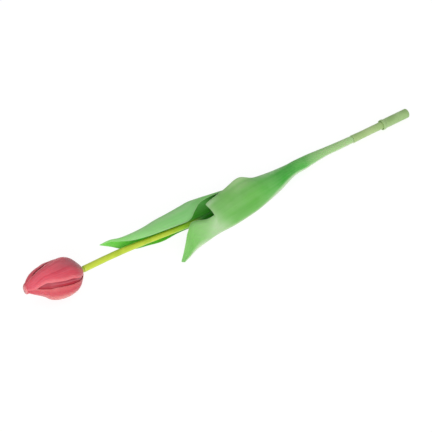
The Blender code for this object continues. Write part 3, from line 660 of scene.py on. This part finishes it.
def blend(tree, mask, first, second):
    """The second colour laid over the first by a mask: outputs, or colours from 0 to 255."""
    first, second = (linear(*colour) if isinstance(colour, tuple) else colour
                     for colour in (first, second))
    return node(tree, "ShaderNodeMix", {0: mask, 6: first, 7: second}, data_type="RGBA").outputs[2]


def coats(tree, tone, rows):
    """A tone under coats laid on in turn: a mask, a strength and a colour, 0 to 255, for each."""
    for mask, strength, colour in rows:
        tone = blend(tree, times(tree, mask, strength), tone, colour)
    return tone


def coordinate(tree, kind):
    """The place of the point that is shaded: "Object" in metres, or "UV"."""
    return node(tree, "ShaderNodeTexCoord").outputs[kind]


def axes(tree, kind):
    """The same place as its separate numbers."""
    return node(tree, "ShaderNodeSeparateXYZ", {0: coordinate(tree, kind)}).outputs


def attribute(tree, name):
    """The value that the mesh carries under a name."""
    return node(tree, "ShaderNodeAttribute", attribute_name=name).outputs["Fac"]


def noise(tree, vector, scale, detail, roughness=0.5, extra=(), **settings):
    """The value of a Noise Texture."""
    return node(tree, "ShaderNodeTexNoise", {"Vector": vector, "Scale": scale, "Detail": detail,
                                             "Roughness": roughness, **dict(extra)},
                **settings).outputs["Fac"]


def new_group(name, inputs, outputs):
    """An empty node group with float sockets; returns the tree, its inputs and its output node."""
    tree = bpy.data.node_groups.new(name, "ShaderNodeTree")
    for label, default in inputs:
        socket = tree.interface.new_socket(label, in_out="INPUT", socket_type="NodeSocketFloat")
        socket.default_value = default
    for label in outputs:
        tree.interface.new_socket(label, in_out="OUTPUT", socket_type="NodeSocketFloat")
    return tree, tree.nodes.new("NodeGroupInput").outputs, tree.nodes.new("NodeGroupOutput")


def use(tree, group, **values):
    """A group placed in a material with its own values; returns its outputs."""
    return node(tree, "ShaderNodeGroup", values, node_tree=group).outputs


# %% Streaks, clouds, grain and margins
streaks, given, out = new_group("lengthwise streaks", [("Across", 30.0), ("Along", 1.5), ("Seed", 0.0)],
                                ["Mask"])
place = axes(streaks, "UV")
spot = node(streaks, "ShaderNodeCombineXYZ", {
    0: times(streaks, place[0], given["Across"]),
    1: times(streaks, place[1], given["Along"]), 2: given["Seed"]}).outputs[0]
feed(streaks, out, {"Mask": remap(streaks, noise(streaks, spot, 1.0, 3.0, 0.55), 0.30, 0.70)})

clouds, given, out = new_group("soft clouds", [("Size", 30.0), ("Seed", 0.0)], ["Mask"])
cloudy = noise(clouds, coordinate(clouds, "Object"), given["Size"], 2.0, extra={"W": given["Seed"]},
               noise_dimensions="4D")
feed(clouds, out, {"Mask": remap(clouds, cloudy, 0.36, 0.64)})

grain, given, out = new_group("fine grain", [("Size", 1500.0)], ["Height"])
feed(grain, out, {"Height": noise(grain, coordinate(grain, "Object"), given["Size"], 3.0, 0.65)})

margin, given, out = new_group("thin margin", [("Width", 0.04)], ["Mask", "Along", "Across"])
place = axes(margin, "UV")
near = maths(margin, "MINIMUM", place[0], maths(margin, "SUBTRACT", 1.0, place[0]))
spread = maths(margin, "DIVIDE", near, given["Width"])
feed(margin, out, {"Mask": remap(margin, spread, 0.0, 1.0, 1.0, 0.0), "Along": place[1],
                   "Across": place[0]})
print("groups:", [group.name for group in bpy.data.node_groups])


def finish(name, roughness, **constants):
    """A material with its Principled BSDF, whose constants are set on the shader itself."""
    material = bpy.data.materials.new(name)
    material.use_nodes = True
    tree = material.node_tree
    shader = tree.nodes["Principled BSDF"]
    feed(tree, shader, {"Roughness": roughness})
    feed(tree, shader, {label.replace("_", " "): value for label, value in constants.items()})
    return material, tree, shader


def bump(tree, height, strength, distance):
    """The normal that a height gives, from a Bump node."""
    return node(tree, "ShaderNodeBump", {"Height": height, "Strength": strength,
                                         "Distance": distance}).outputs[0]


def wear(piece, material):
    """The piece takes the material."""
    piece.data.materials.clear()
    piece.data.materials.append(material)


# %% [markdown]
# ## Petal finish
#
# The petals are taken as soft moulded plastic with a satin face, as the record says. The photograph
# shows no weave and no mould line, so pressed fabric can't be ruled out. The colour runs in streaks
# from root to tip, turns dusky or pale along the middle near the root, and is paler on the margins.
# On the low petal the pale middle, which runs on towards the tip, is painted highlight, and the pale
# margins of the front and the low petal are partly painted highlight.
# A picture wrapped round each petal would look right from one side only; streaks that follow the UV
# map fan out from the root by themselves, as the real ones do.

# %% Petals' material
# The second and third colours paint shade on the inner petals: a dusky red under the outer margins in
# each groove, and a dark crimson shadow where an inner petal dives under the next one.
TIP_PINK, GROOVE_SHADE_RED, UNDER_SHADOW_CRIMSON = (244, 160, 158), (156, 28, 50), (170, 16, 42)


def petal_finish(name, dark, mid, light, root, rim, seed, flush_width=0.36, flush_end=0.58,
                 groove_shade_strength=0.0):
    """Streaks between three reds, a root flush down the middle, and paler margins.

    An inner petal carries painted shade: it darkens towards the first edge of its groove and its tip,
    and turns a dark crimson, a painted shadow, where it dives under the next petal. The attribute
    "shaded" is its place across the groove, 0 to 1.
    """
    material, tree, shader = finish(name, 0.52, Sheen_Weight=0.10, Sheen_Roughness=0.4,
                                    Subsurface_Weight=0.3, Subsurface_Scale=0.004,
                                    Subsurface_Radius=(1.0, 0.25, 0.25))
    broad = use(tree, streaks, Across=9.0, Along=0.9, Seed=seed)["Mask"]
    thin = use(tree, streaks, Across=34.0, Along=1.6, Seed=seed + 5.0)["Mask"]
    fine = use(tree, streaks, Across=110.0, Along=5.0, Seed=seed + 9.0)["Mask"]
    cloud = use(tree, clouds, Size=55.0, Seed=seed)["Mask"]
    edge = use(tree, margin, Width=0.24)
    flush = times(tree, band(tree, edge["Across"], 0.47, flush_width, core=0.03),
                  remap(tree, edge["Along"], 0.16, flush_end, 1.0, 0.0))
    flush = times(tree, flush, remap(tree, thin, -0.4, 0.9, 0.6, 1.0))
    shaded = attribute(tree, "shaded")
    # Painted shade in the groove: a crimson shadow where the petal dives under the next one, and a
    # dusky red towards the groove's first edge and towards the tip.
    under_shadow = times(tree, remap(tree, shaded, 0.42, 0.66), remap(tree, shaded, 1.6, 2.2, 1.0, 0.0))
    groove_shade = maths(tree, "MAXIMUM", remap(tree, shaded, 0.12, 0.60, 0.85, 0.0),
                 remap(tree, edge["Along"], 0.42, 0.72, 0.0, 0.85))
    tone = coats(tree, blend(tree, broad, dark, light), [
        (thin, 0.40, mid), (fine, 0.26, light), (cloud, 0.25, dark), (flush, 0.9, root),
        (edge["Mask"], 0.45, rim), (remap(tree, edge["Along"], 0.90, 1.0), 0.7, TIP_PINK),
        (attribute(tree, "inside"), 0.8, dark), (groove_shade, groove_shade_strength, GROOVE_SHADE_RED)])
    height = maths(tree, "ADD", thin, times(tree, fine, 0.6))
    feed(tree, shader, {"Base Color": blend(tree, under_shadow, tone, UNDER_SHADOW_CRIMSON),
                        "Roughness": remap(tree, thin, 0.0, 1.0, 0.46, 0.60),
                        "Normal": bump(tree, height, 0.35, 0.00010)})
    return material


# The low petal's pale peach middle paints the highlight that the table's light puts on its lower side,
# and the pale rims of the front and the low petal are partly painted highlight.
outer_reds = [
    petal_finish("front petal", (204, 46, 70), (212, 66, 84), (232, 98, 112), (156, 86, 96),
                 (246, 128, 130), 1.0),
    petal_finish("low petal", (190, 48, 66), (192, 60, 74), (208, 80, 92), (236, 158, 148),
                 (230, 112, 110), 2.0, 0.30, 1.0),
    petal_finish("back petal", (200, 44, 66), (206, 56, 76), (222, 76, 92), (156, 84, 92),
                 (222, 76, 88), 3.0)]
inner_red = petal_finish("inner petal", (188, 58, 76), (188, 72, 88), (216, 124, 138), (178, 88, 98),
                         (200, 60, 76), 4.0, groove_shade_strength=1.0)
for piece, red in zip(outer_petals + inner_petals, outer_reds + [inner_red] * 3):
    wear(piece, red)

# %% [markdown]
# ## Leaf finish
#
# The leaves are taken as soft plastic with a powdery face, in several greens: paler on the sheath
# and on the lobes, deeper where the blade narrows. Veins run the whole length. The two sides of a
# sheet differ, so the mesh carries an attribute that is nought outside and one inside; the inside
# colours are partly painted shade within the leaves' mouths. There are soft patches too: pale ones
# on the margins and at the fold, which are painted highlight, and deep ones on the blade, which are
# painted shade. Painting them on a picture would be the usual way; here each is a smooth spot in UV.

# %% Leaves' material
def ramp(tree, value, stops):
    """A Color Ramp over (place, colour) stops."""
    made = node(tree, "ShaderNodeValToRGB", {0: value})
    made.color_ramp.interpolation = "B_SPLINE"
    keys = made.color_ramp.elements
    while len(keys) < len(stops):
        keys.new(0.5)
    for key, (place, _) in zip(keys, stops):
        key.position = place
    for key, (_, colour) in zip(keys, stops):
        key.color = linear(*colour)
    return made.outputs["Color"]


# The third colour is a painted highlight, laid along the fold where the sheet turns under.
LEAF_DEEP, LEAF_PALE, FOLD_HIGHLIGHT = (88, 174, 66), (152, 206, 134), (208, 230, 192)
VEIN_PALE, VEIN_DEEP, LEAF_RIM = (158, 204, 136), (78, 148, 66), (196, 222, 176)


def leaf_finish(name, outside, inside, fold, patches, face, seed):
    """Colour along the leaf from a ramp for each side, then clouds, a pale fold, patches and veins.

    The fold is a painted highlight, a pale band where the sheet turns under: its place across the
    leaf at 0.25 and at 0.50 of the length, a width and a strength. Pale patches paint highlight and
    deep ones paint shade.
    A patch is a colour, its place and width along, its place and width across, and a strength. The
    patches are on one face: 0 outside, 1 inside.
    """
    material, tree, shader = finish(name, 0.5, Sheen_Weight=0.12, Sheen_Roughness=0.35,
                                    Subsurface_Weight=0.25, Subsurface_Scale=0.003,
                                    Subsurface_Radius=(0.4, 1.0, 0.3))
    edge = use(tree, margin, Width=0.03)
    vein = use(tree, streaks, Across=26.0, Along=1.2, Seed=seed)["Mask"]
    thin = use(tree, streaks, Across=120.0, Along=4.0, Seed=seed + 3.0)["Mask"]
    deep = use(tree, clouds, Size=34.0, Seed=seed)["Mask"]
    pale = use(tree, clouds, Size=52.0, Seed=seed + 7.0)["Mask"]
    side = attribute(tree, "inside")
    # The fold band is a painted highlight, where the sheet turns under.
    line = remap(tree, edge["Along"], 0.25, 0.50, fold[0], fold[1])
    tone = coats(tree, ramp(tree, edge["Along"], outside), [
        (deep, 0.22, LEAF_DEEP), (pale, 0.20, LEAF_PALE),
        (band(tree, edge["Across"], line, fold[2]), fold[3], FOLD_HIGHLIGHT)])
    tone = blend(tree, side, tone, ramp(tree, edge["Along"], inside))
    # The patches paint light and shade: pale spots where light falls, deep ones where shade falls.
    for colour, along, length, across, breadth, strength in patches:
        mask = times(tree, band(tree, edge["Along"], along, length, strength),
                     band(tree, edge["Across"], across, breadth))
        on_face = remap(tree, side, 0.0, 1.0, 1.0 - face, face)
        tone = coats(tree, tone, [(mask, on_face, colour)])
    tone = coats(tree, tone, [(vein, 0.14, VEIN_PALE), (thin, 0.08, VEIN_DEEP),
                              (edge["Mask"], 0.35, LEAF_RIM)])
    height = maths(tree, "ADD", times(tree, vein, 0.8), times(tree, thin, 0.4))
    height = maths(tree, "ADD", height, times(tree, use(tree, grain, Size=2200.0)["Height"], 0.5))
    smooth_sheath = remap(tree, edge["Along"], 0.12, 0.32, 0.15, 1.0)
    feed(tree, shader, {"Base Color": tone, "Roughness": remap(tree, vein, 0.0, 1.0, 0.44, 0.58),
                        "Normal": bump(tree, times(tree, height, smooth_sheath), 0.22, 0.00010)})
    return material


# On the outer leaf the inside ramp is darkest at 0.4 of the length, partly painted shade within the
# wrap. The pale patches paint highlight on the lobe, the margins and the fold, and the deep ones paint
# shade in the crease and under the rolled lip; the first deepens the blade where it narrows.
outer_green = leaf_finish("outer leaf", [
    (0.0, (172, 206, 142)), (0.09, (168, 204, 138)), (0.15, (134, 194, 112)), (0.21, (56, 168, 46)),
    (0.30, (34, 160, 28)), (0.38, (52, 164, 42)), (0.46, (106, 186, 76)), (0.61, (120, 190, 90)),
    (0.68, (172, 216, 156)), (0.74, (156, 208, 136)), (0.80, (126, 190, 98)),
    (0.88, (110, 182, 80)), (1.0, (134, 196, 114))], [
    (0.0, (120, 176, 90)), (0.4, (70, 136, 50)), (0.75, (84, 152, 62)), (1.0, (110, 180, 90))],
    (0.69, 0.86, 0.11, 0.85), [
    ((8, 150, 14), 0.33, 0.09, 0.50, 0.30, 0.6),
    ((66, 122, 36), 0.77, 0.07, 0.0, 0.15, 1.0),
    ((184, 220, 158), 0.48, 0.10, 0.06, 0.13, 0.7),
    ((188, 222, 176), 0.62, 0.05, 0.09, 0.13, 0.6),
    ((170, 212, 160), 0.38, 0.09, 0.20, 0.16, 0.7),
    ((212, 234, 196), 0.68, 0.09, 0.50, 0.50, 0.4),
    ((204, 230, 188), 0.64, 0.08, 0.74, 0.20, 0.45),
    ((208, 232, 192), 0.80, 0.14, 0.82, 0.18, 0.7),
    ((186, 220, 158), 0.49, 0.06, 0.22, 0.12, 0.30),
    ((74, 160, 40), 0.51, 0.13, 0.68, 0.17, 0.65)], 0, 2.0)
# On the inner leaf the inside ramp is dark up to a third of the length, painted shade in the mouth, and
# a bright, saturated green from about half of it, painted light that shines through the sheet. Its one
# patch, on the inside, paints light on the mouth's lit wall.
inner_green = leaf_finish("inner leaf", [
    (0.0, (120, 178, 100)), (0.35, (110, 188, 94)), (0.55, (134, 208, 126)), (0.80, (142, 212, 124)),
    (1.0, (144, 226, 112))], [
    (0.0, (40, 112, 22)), (0.33, (44, 120, 26)), (0.42, (84, 168, 56)), (0.55, (92, 206, 8)),
    (0.75, (94, 210, 14)), (1.0, (124, 208, 96))], (0.30, 0.30, 0.12, 0.16), [
    ((120, 190, 106), 0.39, 0.06, 0.62, 0.18, 0.85)], 1, 6.0)
wear(outer_leaf, outer_green)
wear(inner_leaf, inner_green)

# %% [markdown]
# ## Stem, sleeve and cap finishes
#
# The stem's sleeve is soft yellow-green plastic with a slight gloss. The bottom sleeve and the cap
# are paler and a little milky. Faint streaks and a cloudy tint keep them from looking like new
# paint. Foam and wire hardly show, and have a cell pattern and a drawn look of their own.

# %% Tubes' materials
def tube_finish(name, dark, light, roughness, seed, gloss=0.0, shade_bands=()):
    """Two close greens mixed by clouds and by streaks.

    A shade band is a colour that comes in between two places along X; on the stem the bands are
    painted shade, where the leaves cover it.
    """
    material, tree, shader = finish(name, roughness, Coat_Weight=gloss, Coat_Roughness=0.25,
                                    Sheen_Weight=0.30, Sheen_Roughness=0.3)
    mark = use(tree, streaks, Across=9.0, Along=16.0, Seed=seed)["Mask"]
    cloud = use(tree, clouds, Size=70.0, Seed=seed)["Mask"]
    tone = coats(tree, blend(tree, cloud, dark, light), [(mark, 0.3, light)])
    along = axes(tree, "Object")[0]
    for colour, start, stop in shade_bands:
        tone = blend(tree, remap(tree, along, start, stop), tone, colour)
    height = maths(tree, "ADD", use(tree, grain, Size=1800.0)["Height"], times(tree, mark, 0.5))
    feed(tree, shader, {"Base Color": tone, "Normal": bump(tree, height, 0.14, 0.00008),
                        "Roughness": remap(tree, mark, 0.0, 1.0, roughness - 0.05, roughness + 0.06)})
    return material


# The stem's bands paint the leaves' shade on it: greener from -80 mm along X, deep green in the mouth
# from -52 mm, and a plain yellow-green again from 10 mm on.
wear(stem, tube_finish("stem", (168, 192, 34), (190, 208, 56), 0.42, 1.0, 0.15,
                       [((148, 202, 44), -0.080, -0.054), ((30, 128, 0), -0.052, -0.034),
                        ((170, 194, 52), 0.010, 0.060)]))
wear(bottom_sleeve, tube_finish("bottom sleeve", (146, 182, 108), (168, 194, 130), 0.48, 2.0))
wear(end_cap, tube_finish("cap", (140, 174, 106), (158, 190, 126), 0.46, 3.0))
wear(frame["nodes"]["neck_peg"], tube_finish("peg", (170, 190, 70), (188, 204, 90), 0.5, 4.0))
wear(frame["nodes"]["petal_cup"], tube_finish("cup", (150, 130, 96), (160, 142, 104), 0.6, 5.0))

CELL_SCALE = 900.0
foam_white, tree, shader = finish("foam", 0.9)
cell = node(tree, "ShaderNodeTexVoronoi", {"Vector": coordinate(tree, "Object"),
                                           "Scale": CELL_SCALE}).outputs["Distance"]
feed(tree, shader, {
    "Base Color": blend(tree, cell, (226, 220, 204), (204, 196, 176)),
    "Normal": bump(tree, cell, 0.6, 0.0003)})
wear(foam, foam_white)

steel, tree, shader = finish("wire", 0.35, Metallic=1.0)
drawn = noise(tree, coordinate(tree, "Object"), CELL_SCALE, 2.0)
feed(tree, shader, {
    "Base Color": blend(tree, drawn, (150, 150, 152), (186, 186, 188)),
    "Roughness": remap(tree, drawn, 0.2, 0.8, 0.28, 0.45), "Normal": bump(tree, drawn, 0.2, 0.00005)})
wear(frame["nodes"]["stem_wire"], steel)

# %% [markdown]
# ## Table, light and camera
#
# The flower lies on a white table under soft light: a white world, one large lamp low at the
# camera's side, and the table's own bounce, which lights the lower edges of stem and leaves. The
# table shows white to the camera, and keeps a soft shadow. The lens is long, as for a product
# picture, so the flower is hardly foreshortened.

# %% Table and world
WORLD_LEVEL, TABLE_GREY, TABLE_GLOW = 0.68, 0.86, 1.1
CAMERA_SHARE, BOUNCE_SHARE = 0.80, 0.75
WHITE = (1.0, 1.0, 1.0, 1.0)
TABLE_HALF, TABLE_DROP = 3.0, 0.0002


def bare_tree(owner):
    """The node tree of a material or a world, emptied."""
    owner.use_nodes = True
    owner.node_tree.nodes.clear()
    return owner.node_tree


mesh = bpy.data.meshes.new("table")
mesh.from_pydata([(x * TABLE_HALF, y * TABLE_HALF, -TABLE_DROP)
                  for x, y in ((-1, -1), (1, -1), (1, 1), (-1, 1))], [], [(0, 1, 2, 3)])
table = add_object("table", mesh)

white = bpy.data.materials.new("white table")
tree = bare_tree(white)
path = node(tree, "ShaderNodeLightPath").outputs
seen = maths(tree, "MAXIMUM", times(tree, path["Is Camera Ray"], CAMERA_SHARE),
             maths(tree, "MAXIMUM", path["Is Glossy Ray"], path["Is Transmission Ray"]))
seen = maths(tree, "MAXIMUM", seen, times(tree, path["Is Diffuse Ray"], BOUNCE_SHARE))
matt = node(tree, "ShaderNodeBsdfDiffuse", {"Color": (TABLE_GREY,) * 3 + (1.0,)}).outputs[0]
glow = node(tree, "ShaderNodeEmission", {"Color": WHITE, "Strength": TABLE_GLOW}).outputs[0]
mixed = node(tree, "ShaderNodeMixShader", {0: seen, 1: matt, 2: glow}).outputs[0]
node(tree, "ShaderNodeOutputMaterial", {"Surface": mixed})
wear(table, white)

scene = bpy.context.scene
scene.world = bpy.data.worlds.new("studio")
tree = bare_tree(scene.world)
path = node(tree, "ShaderNodeLightPath").outputs
seen = maths(tree, "MAXIMUM", path["Is Camera Ray"], path["Is Transmission Ray"])
level = node(tree, "ShaderNodeMapRange", {"Value": seen, "To Min": WORLD_LEVEL, "To Max": 1.0})
sky = node(tree, "ShaderNodeBackground", {"Color": WHITE, "Strength": level.outputs[0]}).outputs[0]
node(tree, "ShaderNodeOutputWorld", {"Surface": sky})
scene.view_settings.view_transform = "Standard"

# %% Lamp and camera
LAMP_PLACE, LAMP_SIZE, LAMP_POWER = (-38.0, 20.0, 1.5), 1.0, 13.0
CAMERA_PLACE, LENS, SENSOR = (-34.9356, 47.0, 1.56526), 130.0, 36.0
AIM = Vector((-0.022221, -0.001842, 0.010))


def stand(name, data, place, aim=Vector((0.0, 0.0, 0.0))):
    """A lamp or camera at an azimuth, an elevation and a distance from the point that it looks at."""
    azimuth, elevation = math.radians(place[0]), math.radians(place[1])
    back = Vector((math.sin(azimuth) * math.cos(elevation),
                   -math.cos(azimuth) * math.cos(elevation), math.sin(elevation)))
    made = add_object(name, data)
    made.location = aim + back * place[2]
    made.rotation_euler = back.to_track_quat("Z", "Y").to_euler()
    return made


data = bpy.data.lights.new("front lamp", "AREA")
data.shape, data.size, data.energy = "SQUARE", LAMP_SIZE, LAMP_POWER
stand("front lamp", data, LAMP_PLACE)

data = bpy.data.cameras.new("camera")
data.lens, data.sensor_width = LENS, SENSOR
scene.camera = stand("camera", data, CAMERA_PLACE, AIM)
